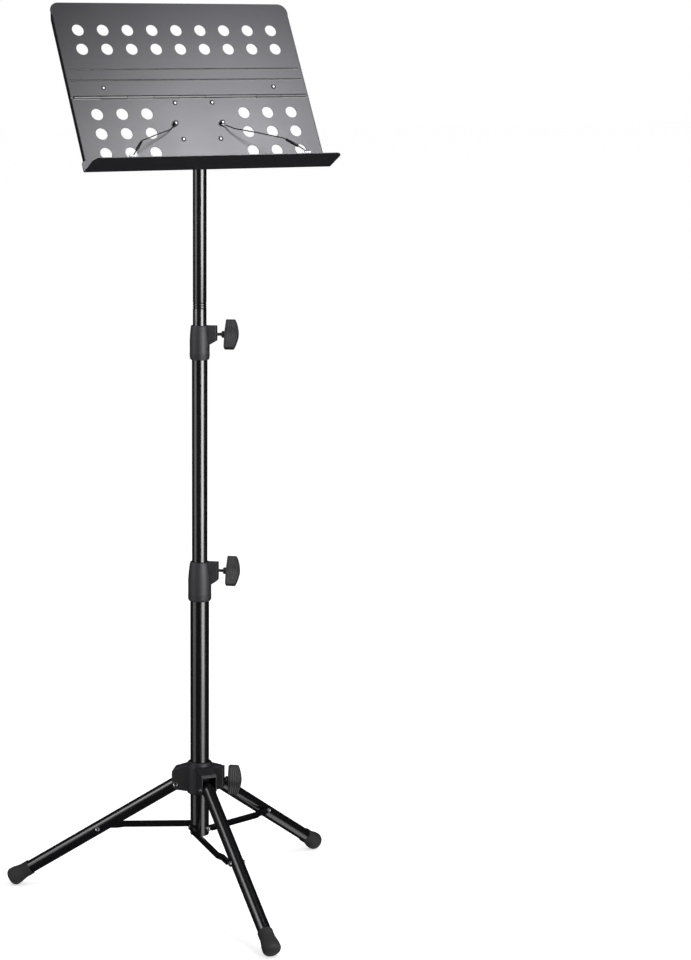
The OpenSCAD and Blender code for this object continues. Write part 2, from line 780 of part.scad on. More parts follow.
// Shouldered rivets that the page arms turn on
module arm_rivets() {
    color(steel) on_desk() for (s = [-1, 1]) translate([s * arm_pivot[0], arm_pivot[1], 0]) {
        translate([0, 0, -sheet]) cylinder(h = sheet + 4.2, r = pin_r);
        cylinder(h = 0.9, r = 4.4);
        translate([0, 0, 4.2]) dome(4.8, 1.5);
        translate([0, 0, -sheet]) rotate([180, 0, 0]) dome(4, 1.2);
    }
}

// Z runs along the wire's outer stretch from its last bend
module along_arm_end(s) {
    d = arm_route[3] - arm_route[2];
    on_desk() mirror([s < 0 ? 1 : 0, 0, 0]) translate(arm_route[2])
        rotate([0, acos(d[2] / norm(d)), atan2(d[1], d[0])]) children();
}

module arm_sleeve(s) {
    run = norm(arm_route[3] - arm_route[2]);
    color("#141416") along_arm_end(s) translate([0, 0, run * 0.14]) difference() {
        cylinder(h = run * 0.74, r = 2.1, $fn = 32);
        translate([0, 0, -1]) cylinder(h = run, r = wire_r, $fn = 24);
    }
}

// Small clear roller on the wire's end that rests on the shelf's front edge
module arm_foot(s) {
    e = arm_route[4];
    d = e - arm_route[3];
    color("#dfe3e6") on_desk() mirror([s < 0 ? 1 : 0, 0, 0]) difference() {
        translate([e[0] - 8.5, e[1] - 0.9, e[2]]) x_rod(0, 17, 1.9);
        translate(e) rotate([0, acos(d[2] / norm(d)), atan2(d[1], d[0])])
            translate([0, 0, -6]) cylinder(h = 6.2, r = wire_r + 0.08, $fn = 24);
    }
}

lower_tube();
tube_end_plug();
strut_pins();
lower_clamp_sleeve();
lower_clamp_nut();
hub_body();
leg_rivets();
hub_clamp_nut();
hub_pad();
hub_screw();
hub_knob();
leg_tube(1);  // leg_tube_1
leg_tube(2);  // leg_tube_2
leg_tube(3);  // leg_tube_3
foot(1);  // foot_1
foot(2);  // foot_2
foot(3);  // foot_3
leg_pin(1);  // leg_pin_1
leg_pin(2);  // leg_pin_2
leg_pin(3);  // leg_pin_3
strut(1);  // strut_1
strut(2);  // strut_2
strut(3);  // strut_3
strut_rivet(1);  // strut_rivet_1
strut_rivet(2);  // strut_rivet_2
strut_rivet(3);  // strut_rivet_3
lower_pad();
lower_screw();
lower_knob();
middle_glide();
middle_tube();
upper_clamp_sleeve();
upper_clamp_nut();
upper_pad();
upper_screw();
upper_knob();
upper_glide();
upper_tube();
tilt_head();
desk_bracket();
bracket_rivets();
tilt_bolt();
tilt_washer();
tilt_knob();
tilt_knob_nut();
lower_panel();
fold_pin();
arm_rivets();
upper_panel();
hinge_leaf();
leaf_rivets();
arm_wire(-1);  // arm_wire_left
arm_wire(1);  // arm_wire_right
arm_sleeve(-1);  // arm_sleeve_left
arm_sleeve(1);  // arm_sleeve_right
arm_foot(-1);  // arm_foot_left
arm_foot(1);  // arm_foot_right
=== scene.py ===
# %% [markdown]
# # A folding music stand
# A stand for sheet music has a perforated steel desk on a pole of three sliding tubes, and a tripod that
# folds like an umbrella. The CAD model holds every size and every joint. This lesson keeps the CAD tubes,
# gives every part a real finish, and replaces the moulded, pressed and bent parts with finer meshes.

# %% Load the CAD frame
import json
import math

import bmesh
import bpy
from mathutils import Matrix, Vector

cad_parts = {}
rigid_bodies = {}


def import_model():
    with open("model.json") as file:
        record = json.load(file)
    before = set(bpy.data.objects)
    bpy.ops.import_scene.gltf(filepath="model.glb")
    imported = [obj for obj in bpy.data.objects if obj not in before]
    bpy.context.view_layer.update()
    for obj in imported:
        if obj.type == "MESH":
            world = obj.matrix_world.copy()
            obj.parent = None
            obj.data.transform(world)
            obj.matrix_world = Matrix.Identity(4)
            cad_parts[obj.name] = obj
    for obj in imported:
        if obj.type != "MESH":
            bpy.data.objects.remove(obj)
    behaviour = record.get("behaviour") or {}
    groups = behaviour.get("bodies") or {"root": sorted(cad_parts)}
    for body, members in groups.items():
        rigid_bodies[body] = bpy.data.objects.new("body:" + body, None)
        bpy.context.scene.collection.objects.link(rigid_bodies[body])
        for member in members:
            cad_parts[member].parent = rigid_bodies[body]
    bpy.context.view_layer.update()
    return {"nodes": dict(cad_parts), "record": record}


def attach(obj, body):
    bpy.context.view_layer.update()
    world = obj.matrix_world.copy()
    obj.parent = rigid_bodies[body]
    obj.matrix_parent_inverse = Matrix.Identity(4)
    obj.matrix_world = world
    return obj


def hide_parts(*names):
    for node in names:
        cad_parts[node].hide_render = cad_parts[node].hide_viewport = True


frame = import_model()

scene = bpy.context.scene
nodes = frame["nodes"]
body_of = {node: body for body, members in frame["record"]["behaviour"]["bodies"].items()
           for node in members}
MM = 0.001

# %% [markdown]
# ## The camera
# The stand is tall and thin, so it is seen through a long lens from about four and a half metres. That
# keeps the pole nearly parallel. The camera looks down a little and the frame is shifted sideways, so
# that the pole stands left of the middle with free room on its right.

# %% Camera
CAMERA_TILT, CAMERA_TURN = 9.72, 26.62
camera_data = bpy.data.cameras.new("camera")
camera_data.sensor_width = 36.0
camera_data.lens = 94.86
camera_data.shift_x = 0.15198
camera = bpy.data.objects.new("camera", camera_data)
camera.location = (-2.0529, -4.0956, 1.5779)
camera.rotation_euler = (math.radians(90 - CAMERA_TILT), 0, math.radians(-CAMERA_TURN))
scene.collection.objects.link(camera)
scene.camera = camera
print(f"camera {camera_data.lens:.1f} mm, {camera.location.length:.2f} m from the origin")

# %% [markdown]
# ## Colours and nodes
# Paint charts give sRGB hex codes, but shaders work in linear light, so one function does the change.
# A second one adds a shader node with its settings and links, which keeps each finish to a few lines.

# %% Helpers for colours and nodes
def linear(code):
    """Linear RGBA of an sRGB hex code."""
    parts = [int(code[i:i + 2], 16) / 255 for i in (1, 3, 5)]
    return [c / 12.92 if c <= 0.04045 else ((c + 0.055) / 1.055) ** 2.4 for c in parts] + [1.0]


def add_node(tree, kind, inputs=(), **settings):
    """Adds a shader node. An input is a value, or a (node, output) pair to link from."""
    node = tree.nodes.new("ShaderNode" + kind)
    for name, value in settings.items():
        setattr(node, name, value)
    for name, value in dict(inputs).items():
        if isinstance(value, tuple) and isinstance(value[0], bpy.types.Node):
            tree.links.new(value[0].outputs[value[1]], node.inputs[name])
        else:
            node.inputs[name].default_value = value
    return node


def per_metre(size_mm):
    """Pattern scale for features of this size."""
    return 1 / (size_mm * MM)


def new_finish(name, colour, roughness, **sockets):
    """A material whose shader has these settings on its own sockets."""
    material = bpy.data.materials.new(name)
    material.use_nodes = True
    material.diffuse_color = linear(colour)
    shader = material.node_tree.nodes["Principled BSDF"]
    shader.inputs["Base Color"].default_value = linear(colour)
    shader.inputs["Roughness"].default_value = roughness
    for socket, value in sockets.items():
        shader.inputs[socket.replace("_", " ")].default_value = value
    return material, material.node_tree, shader

# %% [markdown]
# ## The studio
# A white paper floor and a white background carry soft shadows only. Glossy black tubes need a dark room
# to look black, with long narrow lamps to draw a bright line down each tube. So the background is white to
# the eye and dark to reflections, and the floor doesn't show in reflections either.

# %% Background
scene.view_settings.view_transform = "Standard"
scene.view_settings.look = "None"
world = bpy.data.worlds.new("studio")
world.use_nodes = True
scene.world = world
sky = world.node_tree
sky.nodes.clear()
rays = add_node(sky, "LightPath")
seen = add_node(sky, "Background", {"Color": linear("#ffffff"), "Strength": 1.0})
fill = add_node(sky, "Background", {"Color": linear("#ffffff"), "Strength": 0.55})
reflected = add_node(sky, "Background", {"Color": linear("#8f9096"), "Strength": 0.05})
soft = add_node(sky, "MixShader", {0: (rays, "Is Glossy Ray"), 1: (fill, 0), 2: (reflected, 0)})
both = add_node(sky, "MixShader", {0: (rays, "Is Camera Ray"), 1: (soft, 0), 2: (seen, 0)})
add_node(sky, "OutputWorld", {"Surface": (both, 0)})
print("background ready")

# %% Floor
FLOOR_HALF, FLOOR_LEVEL = 40.0, -0.0003
corners = [(x * FLOOR_HALF, y * FLOOR_HALF, FLOOR_LEVEL) for x, y in ((-1, -1), (1, -1), (1, 1), (-1, 1))]
floor_data = bpy.data.meshes.new("floor")
floor_data.from_pydata(corners, [], [(0, 1, 2, 3)])
floor = bpy.data.objects.new("floor", floor_data)
scene.collection.objects.link(floor)
paper, _, paper_shader = new_finish("white paper", "#f2f2f2", 0.9, Emission_Strength=0.55)
paper_shader.inputs["Emission Color"].default_value = linear("#ffffff")
floor_data.materials.append(paper)
floor.visible_glossy = False
floor.visible_shadow = False
print("floor ready")

# %% Lamps
def soft_box(name, place, aim, width, height, brightness, gloss_only=False, tint=(1.0, 1.0, 1.0)):
    """A rectangular lamp of even brightness, facing a point. A gloss-only lamp shows in reflections
    and lights nothing else."""
    data = bpy.data.lights.new(name, "AREA")
    data.shape = "RECTANGLE"
    data.size = width
    data.size_y = height
    data.energy = brightness * width * height * math.pi
    data.color = tint
    lamp = bpy.data.objects.new(name, data)
    lamp.location = place
    lamp.rotation_euler = (Vector(aim) - Vector(place)).to_track_quat("-Z", "Y").to_euler()
    lamp.visible_camera = False
    lamp.visible_diffuse = not gloss_only
    scene.collection.objects.link(lamp)
    return lamp


def around_pole(angle, height, distance=3.0):
    """A point round the pole: angle 0 is towards the camera, and positive is to its right."""
    turn = math.radians(-90 - CAMERA_TURN + angle)
    return (distance * math.cos(turn), distance * math.sin(turn), height)


# Level, low end, high end, right and left brightness: stacked, so that the bright lines fade down the pole
TUBE_LAMPS = (("top", 0.1, 2.2, 18.0, 3.0), ("mid", -0.4, 0.1, 11.0, 1.9), ("low", -1.3, -0.4, 3.8, 1.2))
STRIP_ANGLE, STRIP_WIDTH = 42, 1.9
PANEL_ANGLE, PANEL_WIDTH = -68, 2.0
for level, low, high, right, left in TUBE_LAMPS:
    middle = (low + high) / 2
    soft_box(f"strip_{level}", around_pole(STRIP_ANGLE, middle), (0, 0, middle), STRIP_WIDTH, high - low,
             right, gloss_only=True)
    soft_box(f"panel_{level}", around_pole(PANEL_ANGLE, middle), (0, 0, middle), PANEL_WIDTH, high - low,
             left, gloss_only=True)
# One lamp gives the desk its sheen. Two that show only in gloss edge the legs, and the one below the floor
# stands for light that a pale floor throws up. The last two light the tripod's top and the stand's back.
soft_box("desk_key", (0.62, -0.85, 2.34), (0, -0.03, 1.42), 0.5, 0.5, 26.0, tint=(0.96, 0.955, 1.0))
soft_box("leg_front", (-1.6, 0.47, 2.55), (0, -0.2, 0.1), 0.9, 0.9, 4.6, gloss_only=True)
soft_box("floor_bounce", (1.0, -0.2, -1.1), (0.2, 0.09, 0.12), 0.9, 0.9, 1.7, gloss_only=True)
soft_box("leg_top", (-2.3, 0.2, 2.0), (0, 0, 0.15), 1.3, 1.1, 6.0)
soft_box("back_fill", (0.6, 3.0, 3.6), (0, 0, 0.9), 2.0, 1.5, 2.5)

# %% [markdown]
# ## Black powder coat on the tubes
# The tubes are seam-welded steel with a baked powder coat. It is glossy, a little wavy like orange peel,
# and the sliding tubes get faint rub lines along their length. A noise of 2 mm gives the waves. One that is
# stretched along Z changes only the roughness, so the lines show in the highlight and nowhere else.

# %% Black powder coat
black_coat, tree, shader = new_finish("black powder coat", "#0d0d0f", 0.2, IOR=1.5)
place = add_node(tree, "TexCoord")
stretch = add_node(tree, "Mapping", {"Vector": (place, "Object"), "Scale": (1, 1, 0.01)})
rubs = add_node(tree, "TexNoise", {"Vector": (stretch, 0), "Scale": per_metre(1.2), "Detail": 3.0})
rub_gloss = add_node(tree, "MapRange", {"Value": (rubs, 0), "From Min": 0.35, "From Max": 0.75,
                                        "To Min": 0.16, "To Max": 0.30})
tree.links.new(rub_gloss.outputs[0], shader.inputs["Roughness"])
cloud = add_node(tree, "TexNoise", {"Vector": (place, "Object"), "Scale": per_metre(30), "Detail": 2.0})
shade = add_node(tree, "Mix", {"Factor": (cloud, 0), 6: linear("#0a0a0c"), 7: linear("#111113")},
                 data_type="RGBA")
tree.links.new(shade.outputs[2], shader.inputs["Base Color"])
peel = add_node(tree, "TexNoise", {"Vector": (place, "Object"), "Scale": per_metre(2.0), "Detail": 1.0})
waves = add_node(tree, "Bump", {"Height": (peel, 0), "Strength": 0.05, "Distance": 0.0001})
tree.links.new(waves.outputs[0], shader.inputs["Normal"])
print(black_coat.name)

# %% [markdown]
# ## Satin coat on the desk
# The desk is pressed sheet steel with a finely textured black powder coat. Its tiny bumps spread a lamp
# into one broad grey sheen across the sheet, so it is rougher than the tubes. The real bumps are about
# 0.3 mm wide. They are drawn 0.8 mm wide, so that a close view shows them.

# %% Satin coat
desk_coat, tree, shader = new_finish("textured black powder coat", "#1c1b1f", 0.36, IOR=1.5)
place = add_node(tree, "TexCoord")
bumps = add_node(tree, "TexNoise", {"Vector": (place, "Object"), "Scale": per_metre(0.8), "Detail": 2.0})
tint = add_node(tree, "Mix", {"Factor": (bumps, 0), 6: linear("#17161a"), 7: linear("#212025")},
                data_type="RGBA")
tree.links.new(tint.outputs[2], shader.inputs["Base Color"])
haze = add_node(tree, "TexNoise", {"Vector": (place, "Object"), "Scale": per_metre(70), "Detail": 3.0})
satin = add_node(tree, "MapRange", {"Value": (haze, 0), "To Min": 0.33, "To Max": 0.40})
tree.links.new(satin.outputs[0], shader.inputs["Roughness"])
grit = add_node(tree, "Bump", {"Height": (bumps, 0), "Strength": 0.12, "Distance": 0.0001})
tree.links.new(grit.outputs[0], shader.inputs["Normal"])
print(desk_coat.name)

# %% [markdown]
# ## Moulded nylon
# Hub, sleeves, knobs and bracket are glass-filled nylon from a spark-eroded mould. That leaves a fine even
# grain and a dull charcoal shine. The grain is bump, 0.6 mm wide, and the colour is mottled a little. The
# knobs are a darker batch than the sleeves. The hub has the sleeves' nylon painted darker, as painted shade
# where the light is weaker, low on the stand.

# %% Moulded nylon
def moulded_nylon(name, colour, dark, pale):
    """Grained nylon that varies between a dark and a pale shade."""
    material, tree, shader = new_finish(name, colour, 0.55, IOR=1.53, Specular_IOR_Level=0.24)
    place = add_node(tree, "TexCoord")
    grain = add_node(tree, "TexNoise", {"Vector": (place, "Object"), "Scale": per_metre(0.6),
                                        "Detail": 3.0})
    mottle = add_node(tree, "TexNoise", {"Vector": (place, "Object"), "Scale": per_metre(9), "Detail": 3.0})
    blotch = add_node(tree, "Mix", {"Factor": (mottle, 0), 6: linear(dark), 7: linear(pale)},
                      data_type="RGBA")
    tree.links.new(blotch.outputs[2], shader.inputs["Base Color"])
    dull = add_node(tree, "MapRange", {"Value": (mottle, 0), "To Min": 0.48, "To Max": 0.62})
    tree.links.new(dull.outputs[0], shader.inputs["Roughness"])
    spark = add_node(tree, "Bump", {"Height": (grain, 0), "Strength": 0.22, "Distance": 0.0002})
    tree.links.new(spark.outputs[0], shader.inputs["Normal"])
    return material


nylon = moulded_nylon("moulded charcoal nylon", "#212126", "#1b1b20", "#27272d")
knob_nylon = moulded_nylon("moulded knob nylon", "#1e1e20", "#19191b", "#242427")
# The hub's nylon is the sleeves' nylon made darker: painted shade where the light is weaker, low on the
# stand, not a batch of its own.
hub_nylon_painted_shade = moulded_nylon("moulded nylon with painted shade", "#131318", "#0f0f13", "#18181d")
print("three batches of nylon")

# %% [markdown]
# ## Rubber feet
# The feet are moulded rubber: very rough and nearly black. They pick up pale dust where they stand, so the
# colour gets lighter towards the floor in their lowest 12 mm. Pores of about 1 mm break up the shine.

# %% Rubber
DUST_HEIGHT = 12 * MM
rubber, tree, shader = new_finish("moulded rubber", "#151517", 0.72, IOR=1.52, Specular_IOR_Level=0.3)
place = add_node(tree, "TexCoord")
pores = add_node(tree, "TexNoise", {"Vector": (place, "Object"), "Scale": per_metre(1.1), "Detail": 4.0})
height = add_node(tree, "SeparateXYZ", {"Vector": (place, "Object")})
dusty = add_node(tree, "MapRange", {"Value": (height, "Z"), "From Min": 0.0, "From Max": DUST_HEIGHT,
                                    "To Min": 0.30, "To Max": 0.0})
powder = add_node(tree, "Math", {0: (dusty, 0), 1: (pores, 0)}, operation="MULTIPLY")
scuffed = add_node(tree, "Mix", {"Factor": (powder, 0), 6: linear("#131315"), 7: linear("#6f6d6a")},
                   data_type="RGBA")
tree.links.new(scuffed.outputs[2], shader.inputs["Base Color"])
matt = add_node(tree, "MapRange", {"Value": (pores, 0), "To Min": 0.70, "To Max": 0.88})
tree.links.new(matt.outputs[0], shader.inputs["Roughness"])
pitted = add_node(tree, "Bump", {"Height": (pores, 0), "Strength": 0.3, "Distance": 0.0003})
tree.links.new(pitted.outputs[0], shader.inputs["Normal"])
print(rubber.name)

# %% [markdown]
# ## Small metals and plastics
# The tilt bolt, its washer and the fold pin are zinc-plated steel. Screws and the desk's rivet heads are
# blackened steel, their broken mandrels are aluminium, and the tripod's rivets are duller plated steel. Nuts
# are brass, and the page arms are nickel-plated spring wire with PVC sleeves and clear acrylic rollers. The
# pads are white nylon. One function makes them all: fine marks vary each one's colour and shine.

# %% Metals and small plastics
def small_finish(name, colour, worn_colour, roughness, mark_mm, **sockets):
    """A finish with fine marks of one size in its colour and shine."""
    material, tree, shader = new_finish(name, colour, roughness, **sockets)
    place = add_node(tree, "TexCoord")
    marks = add_node(tree, "TexNoise", {"Vector": (place, "Object"), "Scale": per_metre(mark_mm),
                                        "Detail": 3.0})
    tone = add_node(tree, "Mix", {"Factor": (marks, 0), 6: linear(colour), 7: linear(worn_colour)},
                    data_type="RGBA")
    tree.links.new(tone.outputs[2], shader.inputs["Base Color"])
    shine = add_node(tree, "MapRange", {"Value": (marks, 0), "To Min": roughness * 0.75,
                                        "To Max": roughness * 1.25})
    tree.links.new(shine.outputs[0], shader.inputs["Roughness"])
    return material


bright_steel = small_finish("zinc-plated steel", "#b9bbc0", "#d4d5d9", 0.24, 0.8, Metallic=1.0)
black_steel = small_finish("blackened steel", "#1c1c1e", "#2b2b2e", 0.40, 0.8, Metallic=0.85)
mandrel_aluminium = small_finish("bright aluminium mandrel", "#c9cbd0", "#e2e3e6", 0.55, 0.8, Metallic=0.8)
rivet_steel = small_finish("plated rivet steel", "#6d6e73", "#8a8b90", 0.3, 0.8, Metallic=1.0)
spring_steel = small_finish("nickel-plated spring wire", "#6f7177", "#8b8d93", 0.22, 1.5, Metallic=1.0)
brass = small_finish("turned brass", "#a88a49", "#bfa263", 0.28, 0.9, Metallic=1.0)
white_nylon = small_finish("white nylon", "#d6d4cc", "#e2e0d9", 0.50, 3.0, IOR=1.53)
black_pvc = small_finish("black PVC sleeve", "#111113", "#1a1a1c", 0.36, 2.0, IOR=1.53)
clear_acrylic = small_finish("clear acrylic", "#e6ebee", "#f4f7f8", 0.12, 4.0, IOR=1.49,
                             Transmission_Weight=0.55)
print("nine small finishes")

# %% Dress the CAD nodes
finish_of = {
    black_coat: ["lower_tube", "middle_tube", "upper_tube", "leg_tube_1", "leg_tube_2", "leg_tube_3",
                 "strut_1", "strut_2", "strut_3"],
    desk_coat: ["lower_panel", "upper_panel", "hinge_leaf"],
    nylon: ["lower_clamp_sleeve", "upper_clamp_sleeve", "tilt_head", "desk_bracket", "tube_end_plug",
            "middle_glide", "upper_glide"],
    knob_nylon: ["hub_knob", "lower_knob", "upper_knob", "tilt_knob"],
    # The hub gets the darker nylon with painted shade.
    hub_nylon_painted_shade: ["hub_body"],
    rubber: ["foot_1", "foot_2", "foot_3"],
    bright_steel: ["bracket_rivets", "tilt_bolt", "tilt_washer", "fold_pin", "arm_rivets", "leaf_rivets"],
    black_steel: ["hub_screw", "lower_screw", "upper_screw", "leg_rivets", "strut_pins",
                  "leg_pin_1", "leg_pin_2", "leg_pin_3", "strut_rivet_1", "strut_rivet_2", "strut_rivet_3"],
    brass: ["hub_clamp_nut", "lower_clamp_nut", "upper_clamp_nut", "tilt_knob_nut"],
    white_nylon: ["hub_pad", "lower_pad", "upper_pad"],
    spring_steel: ["arm_wire_left", "arm_wire_right"],
    black_pvc: ["arm_sleeve_left", "arm_sleeve_right"],
    clear_acrylic: ["arm_foot_left", "arm_foot_right"],
}
for finish, names in finish_of.items():
    for name in names:
        for holder in nodes[name].material_slots:
            holder.material = finish
print(sum(map(len, finish_of.values())), "CAD nodes dressed")

# %% [markdown]
# ## Tools for the pieces
# The finer meshes come from a few small tools. One skins a run of rings, as a loft does, and one lays out
# the rings of a turned part. One joins rings into a closed hoop or tube. The last copies a CAD node, joins
# its faces again and rounds its outward edges, which is how a moulded or pressed edge catches the light.
# Inward edges stay sharp, so that a bore keeps the clearance that the CAD gives it.

# %% Placing and skinning
WELD = 0.002 * MM


def turned_by(angle, axis):
    return Matrix.Rotation(math.radians(angle), 4, axis)


def moved_to(x=0.0, y=0.0, z=0.0):
    return Matrix.Translation(Vector((x, y, z)) * MM)


def skin(runs, place):
    """Mesh through runs of rings, given in mm in the place's own frame. The ends are closed."""
    mesh = bmesh.new()
    for rings in runs:
        loops = [[mesh.verts.new(place @ (Vector(point) * MM)) for point in ring] for ring in rings]
        for low, high in zip(loops, loops[1:]):
            for i in range(len(low)):
                j = (i + 1) % len(low)
                mesh.faces.new((low[i], low[j], high[j], high[i]))
        mesh.faces.new(loops[0][::-1])
        mesh.faces.new(loops[-1])
    bmesh.ops.remove_doubles(mesh, verts=mesh.verts, dist=WELD)
    bmesh.ops.recalc_face_normals(mesh, faces=mesh.faces)
    return mesh


def lathe(profile, sides=48, axis="Z"):
    """Rings of a turned part from (radius, height) pairs in mm, about its Z or X axis."""
    turns = [2 * math.pi * i / sides for i in range(sides)]
    rings = []
    for radius, level in profile:
        ring = [(radius * math.cos(turn), radius * math.sin(turn), level) for turn in turns]
        rings.append([(z, x, y) for x, y, z in ring] if axis == "X" else ring)
    return rings


def ring_solid(mesh, profile, sides=72):
    """Adds a closed ring with this section, a list of (radius, height) pairs, to a bmesh."""
    loops = [[mesh.verts.new(Vector(p) * MM) for p in ring] for ring in lathe(profile, sides)]
    for low, high in zip(loops, loops[1:] + loops[:1]):
        for i in range(sides):
            j = (i + 1) % sides
            mesh.faces.new((low[i], low[j], high[j], high[i]))

# %% Finishing a piece
def finish_piece(name, mesh, finish, stands_for, body=None, smooth_angle=35):
    """Turns a bmesh into a named piece with its finish, body and CAD nodes."""
    data = bpy.data.meshes.new(name)
    mesh.to_mesh(data)
    mesh.free()
    data.polygons.foreach_set("use_smooth", [True] * len(data.polygons))
    data.set_sharp_from_angle(angle=math.radians(smooth_angle))
    data.materials.append(finish)
    piece = bpy.data.objects.new(name, data)
    scene.collection.objects.link(piece)
    if stands_for:
        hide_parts(*stands_for)
    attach(piece, body or body_of[stands_for[0]])
    return piece


def softened(node, width, finish, segments=2, angle=30):
    """A copy of a CAD node with its outward edges rounded to this width in mm."""
    source = nodes[node].data
    data = bpy.data.meshes.new(node)
    data.from_pydata([v.co for v in source.vertices], [], [tuple(p.vertices) for p in source.polygons])
    mesh = bmesh.new()
    mesh.from_mesh(data)
    bmesh.ops.remove_doubles(mesh, verts=mesh.verts, dist=WELD)
    bmesh.ops.dissolve_limit(mesh, angle_limit=math.radians(1.0), verts=mesh.verts, edges=mesh.edges)
    outer = mesh.edges.layers.float.new("bevel_weight_edge")
    for edge in mesh.edges:
        if edge.is_manifold and edge.is_convex and edge.calc_face_angle() > math.radians(angle):
            edge[outer] = 1.0
    piece = finish_piece(node + "_soft", mesh, finish, [node])
    bevel = piece.modifiers.new("rounded", "BEVEL")
    bevel.width = width * MM
    bevel.segments = segments
    bevel.limit_method = "WEIGHT"
    bevel.use_clamp_overlap = False
    even = piece.modifiers.new("flat faces stay flat", "WEIGHTED_NORMAL")
    even.keep_sharp = True
    even.weight = 80
    bpy.data.meshes.remove(data)
    return piece

# %% [markdown]
# ## Moulded hub, sleeves and bracket
# These nylon parts come out of steel moulds, so their corners have a small radius. They could be modelled
# again from rings, but their CAD shape is already right. So each one is the CAD shape with a bevel on its
# outward edges.

# %% Moulded parts
# The hub takes the darker nylon, which carries painted shade.
for node, width, finish in (("hub_body", 0.9, hub_nylon_painted_shade), ("lower_clamp_sleeve", 0.8, nylon),
                            ("upper_clamp_sleeve", 0.8, nylon), ("desk_bracket", 0.7, nylon),
                            ("tilt_head", 0.7, nylon)):
    softened(node, width, finish)
print("moulded parts rounded")

# %% [markdown]
# ## Pressed desk panels and struts
# The panels, struts and hinge leaf are pressed from sheet. Shearing and pressing leave edges of a few
# tenths of a millimetre, and the thick powder coat rounds them further. The bevel is narrow here, so that
# the sheet stays thin.

# %% Pressed parts
SHEET_ROUND, STRUT_ROUND = 0.25, 0.3
for node in ("upper_panel", "lower_panel", "hinge_leaf"):
    softened(node, SHEET_ROUND, desk_coat)
for k in (1, 2, 3):
    softened(f"strut_{k}", STRUT_ROUND, black_coat)
print("pressed parts rounded")

# %% [markdown]
# ## Wing knobs
# Each clamp has a knob with two wings, one bowed outer face and ribs along its flanks, so that a wet hand
# can grip it. A loft makes it: rings run from tip to tip, each ring is a rounded bar, and the ribs are
# waves in the ring's two long sides. A turned cone under it holds the screw.

# %% Wing knob
KNOB_CORNER = 1.3
KNOB_RIBS, RIB_HEIGHT, RIB_STEPS = 5, 0.45, 26
FACE_BULGE = 0.26
TIP_SWEEP = 0.8
MIDDLE_SWELL, SWELL_REACH = 2.6, 8.5
CORNER_STEP = 20


def wing_ring(start, along, half_length, depth, half_thick):
    """One ring across the wing, at a distance along it from the screw."""
    bulge = depth * FACE_BULGE
    bow = (half_length ** 2 + bulge ** 2) / (2 * bulge)
    tip = half_length - abs(along)
    inset = 0.0 if tip >= KNOB_CORNER else KNOB_CORNER - math.sqrt(
        KNOB_CORNER ** 2 - (KNOB_CORNER - tip) ** 2)
    near = start + inset + TIP_SWEEP * (along / half_length) ** 2
    far = start + depth - bow + math.sqrt(bow ** 2 - along ** 2) - inset
    thick = half_thick - inset + MIDDLE_SWELL * math.exp(-(along / SWELL_REACH) ** 2)
    corner = KNOB_CORNER * 0.9
    ring = []
    for side in (1, -1):
        for i in range(RIB_STEPS + 1):
            share = i / RIB_STEPS if side > 0 else 1 - i / RIB_STEPS
            x = near + corner + (far - near - 2 * corner) * share
            fade = min(1.0, 8 * share, 8 * (1 - share)) * min(1.0, tip / 4)
            wave = RIB_HEIGHT * math.cos(2 * math.pi * KNOB_RIBS * share) * fade
            ring.append((x, side * (thick + wave - RIB_HEIGHT), along))
        centre_x = far - corner if side > 0 else near + corner
        for i in range(1, 9):
            turn = math.radians((90 if side > 0 else 270) - CORNER_STEP * i)
            y_mid = (side if i <= 4 else -side) * (thick - corner - RIB_HEIGHT)
            ring.append((centre_x + corner * math.cos(turn), y_mid + corner * math.sin(turn), along))
    return ring


def wing_knob(name, node, place, start, length, depth, thick, cone):
    """A knob with its wings across X, in place of the CAD node that its body is named after."""
    half = length / 2
    near_tip = [0.02, 0.15, 0.4, 0.8, KNOB_CORNER]
    inner = [half - KNOB_CORNER - i * (half - KNOB_CORNER) / 12 for i in range(1, 12)]
    levels = [half - d for d in near_tip] + inner
    levels = levels + [0.0] + [-z for z in reversed(levels)]
    wing = [wing_ring(start, z, half, depth, thick / 2) for z in levels]
    neck = lathe([(3.1, -cone), (4.0, -cone), (5.9, -cone + 0.9), (6.3, -cone * 0.7), (6.3, -cone * 0.35),
                  (5.6, -1.0), (7.2, 0.2), (7.4, 2.0)], axis="X")
    neck = [[(x + start, y, z) for x, y, z in ring] for ring in neck]
    return finish_piece(name, skin([wing, neck], place), knob_nylon, [node], node, 50)


# For each clamp: the way it faces, its height, the turn of its wings, and where the knob starts
CLAMPS = {"lower": (-38, 625, -28, 50.0), "upper": (-38, 1063, -28, 46.5), "hub": (-36, 226, -28 / 3, 54.0)}
for name, (facing, height, wing_turn, start) in CLAMPS.items():
    place = turned_by(facing, "Z") @ moved_to(z=height) @ turned_by(wing_turn, "X")
    wing_knob(f"{name}_wing_knob", f"{name}_knob", place, start, length=55, depth=24.5, thick=14, cone=6)
TILT_KNOB_START = 21.6
wing_knob("tilt_wing_knob", "tilt_knob", moved_to(z=1386) @ turned_by(62, "X"), TILT_KNOB_START,
          length=29, depth=15, thick=10, cone=5)
print("four wing knobs")

# %% [markdown]
# ## Clamp screws
# The screws are 6 mm thick and move 1.25 mm a turn, as their joints do. Their real thread is a helix, but
# at this pitch a stack of ridges looks the same and stays a clean closed mesh, so the screw is turned from
# a zigzag profile.

